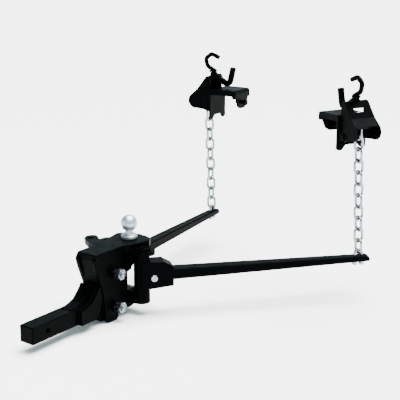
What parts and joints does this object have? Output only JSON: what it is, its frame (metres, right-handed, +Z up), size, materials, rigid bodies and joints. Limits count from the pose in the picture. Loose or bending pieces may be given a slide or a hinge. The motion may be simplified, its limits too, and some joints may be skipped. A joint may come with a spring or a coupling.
{
  "type": "weight distribution hitch",
  "caption": "Black trailer hitch: square shank, drop bar, ball head, two spring bars on hanging chains and snap-up frame brackets.",
  "frame": {"origin": "centre of the hitch ball", "axes": "+X points back from the towing vehicle towards the trailer, +Z up, so the left-hand bar is on -Y"},
  "size_m": [1.1569, 0.8088, 0.722],
  "materials": {
    "black_coat": "satin black powder coat on forged and welded steel",
    "spring_steel": "black painted spring steel",
    "black_oxide": "black oxide fasteners",
    "bright_ball": "bright chrome plate",
    "bright_zinc": "bright zinc plate",
    "bright_chain": "bright zinc plated chain"
  },
  "bodies": {
    "hitch_body": {"shank_bar": "black_coat", "drop_bar": "black_coat", "shank_gussets": "black_coat", "head_casting": "black_coat", "sway_tab": "black_coat", "hitch_ball": "bright_ball", "ball_lock_washer": "bright_zinc", "ball_nut": "bright_zinc", "head_bolts": "bright_zinc", "head_washers": "black_coat", "head_spacers": "bright_zinc", "head_nuts": "bright_zinc", "trunnion_pins": "black_coat", "trunnion_rings": "black_oxide"},
    "left_arm": {"left_socket": "black_coat", "left_spring_bar": "spring_steel", "left_socket_bolt": "bright_zinc", "left_socket_nut": "bright_zinc", "left_u_bolt": "bright_zinc", "left_u_bolt_nuts": "bright_zinc", "left_bracket": "black_coat", "left_clamp_bolt": "black_oxide", "left_clamp_nut": "black_oxide", "left_lever_pins": "black_oxide"},
    "left_lever_body": {"left_lever": "black_coat", "left_handle_stub": "black_coat", "left_top_hook": "black_coat"},
    "left_chain_1": {"left_chain_run_1": "bright_chain"},
    "left_chain_2": {"left_chain_run_2": "bright_chain"},
    "left_chain_3": {"left_chain_run_3": "bright_chain"},
    "left_chain_4": {"left_chain_run_4": "bright_chain"},
    "right_arm": {"right_socket": "black_coat", "right_spring_bar": "spring_steel", "right_socket_bolt": "bright_zinc", "right_socket_nut": "bright_zinc", "right_u_bolt": "bright_zinc", "right_u_bolt_nuts": "bright_zinc", "right_bracket": "black_coat", "right_clamp_bolt": "black_oxide", "right_clamp_nut": "black_oxide", "right_lever_pins": "black_oxide"},
    "right_lever_body": {"right_lever": "black_coat", "right_handle_stub": "black_coat", "right_top_hook": "black_coat"},
    "right_chain_1": {"right_chain_run_1": "bright_chain"},
    "right_chain_2": {"right_chain_run_2": "bright_chain"},
    "right_chain_3": {"right_chain_run_3": "bright_chain"},
    "right_chain_4": {"right_chain_run_4": "bright_chain"}
  },
  "joints": [
    {"name": "left_bar_swing", "type": "hinge", "parent": "hitch_body", "child": "left_arm", "pos_m": [-0.025, -0.068, -0.14], "axis": [0, 0, 1], "range_deg": [-25, 20]},
    {"name": "left_lever_hinge", "type": "hinge", "parent": "left_arm", "child": "left_lever_body", "pos_m": [0.49254, -0.49991, 0.24848], "axis": [0.8949, -0.4462, 0], "range_deg": [0, 80]},
    {"name": "left_chain_hang", "type": "hinge", "parent": "left_arm", "child": "left_chain_4", "pos_m": [0.48441, -0.51597, 0.31622], "axis": [0.8938, -0.4458, 0.0485], "range_deg": [-3, 3]},
    {"name": "left_chain_bend_3", "type": "hinge", "parent": "left_chain_4", "child": "left_chain_3", "pos_m": [0.48917, -0.51809, 0.20928], "axis": [0.8938, -0.4458, 0.0485], "range_deg": [-1.81, 1.81]},
    {"name": "left_chain_bend_2", "type": "hinge", "parent": "left_chain_3", "child": "left_chain_2", "pos_m": [0.4941, -0.52028, 0.09841], "axis": [0.8938, -0.4458, 0.0485], "range_deg": [-2.53, 2.53]},
    {"name": "left_chain_bend_1", "type": "hinge", "parent": "left_chain_2", "child": "left_chain_1", "pos_m": [0.49902, -0.52247, -0.01246], "axis": [0.8938, -0.4458, 0.0485], "range_deg": [-1.81, 1.81]},
    {"name": "right_bar_swing", "type": "hinge", "parent": "hitch_body", "child": "right_arm", "pos_m": [-0.025, 0.068, -0.14], "axis": [0, 0, 1], "range_deg": [-3, 42]},
    {"name": "right_lever_hinge", "type": "hinge", "parent": "right_arm", "child": "right_lever_body", "pos_m": [0.64527, 0.14277, 0.26134], "axis": [-0.9954, -0.0958, 0], "range_deg": [0, 80]},
    {"name": "right_chain_hang", "type": "hinge", "parent": "right_arm", "child": "right_chain_4", "pos_m": [0.64343, 0.16067, 0.31609], "axis": [-0.9939, -0.0957, -0.0545], "range_deg": [-3, 3]},
    {"name": "right_chain_bend_3", "type": "hinge", "parent": "right_chain_4", "child": "right_chain_3", "pos_m": [0.64924, 0.1612, 0.20917], "axis": [-0.9939, -0.0957, -0.0545], "range_deg": [-1.81, 1.81]},
    {"name": "right_chain_bend_2", "type": "hinge", "parent": "right_chain_3", "child": "right_chain_2", "pos_m": [0.65526, 0.16175, 0.09834], "axis": [-0.9939, -0.0957, -0.0545], "range_deg": [-2.53, 2.53]},
    {"name": "right_chain_bend_1", "type": "hinge", "parent": "right_chain_2", "child": "right_chain_1", "pos_m": [0.66128, 0.1623, -0.0125], "axis": [-0.9939, -0.0957, -0.0545], "range_deg": [-1.81, 1.81]}
  ],
  "couplings": [
    {"joint": "left_chain_bend_3", "follows": "left_chain_hang", "ratio": -0.586},
    {"joint": "left_chain_bend_2", "follows": "left_chain_hang", "ratio": -0.828},
    {"joint": "left_chain_bend_1", "follows": "left_chain_hang", "ratio": -0.586},
    {"joint": "right_chain_bend_3", "follows": "right_chain_hang", "ratio": -0.586},
    {"joint": "right_chain_bend_2", "follows": "right_chain_hang", "ratio": -0.828},
    {"joint": "right_chain_bend_1", "follows": "right_chain_hang", "ratio": -0.586}
  ]
}
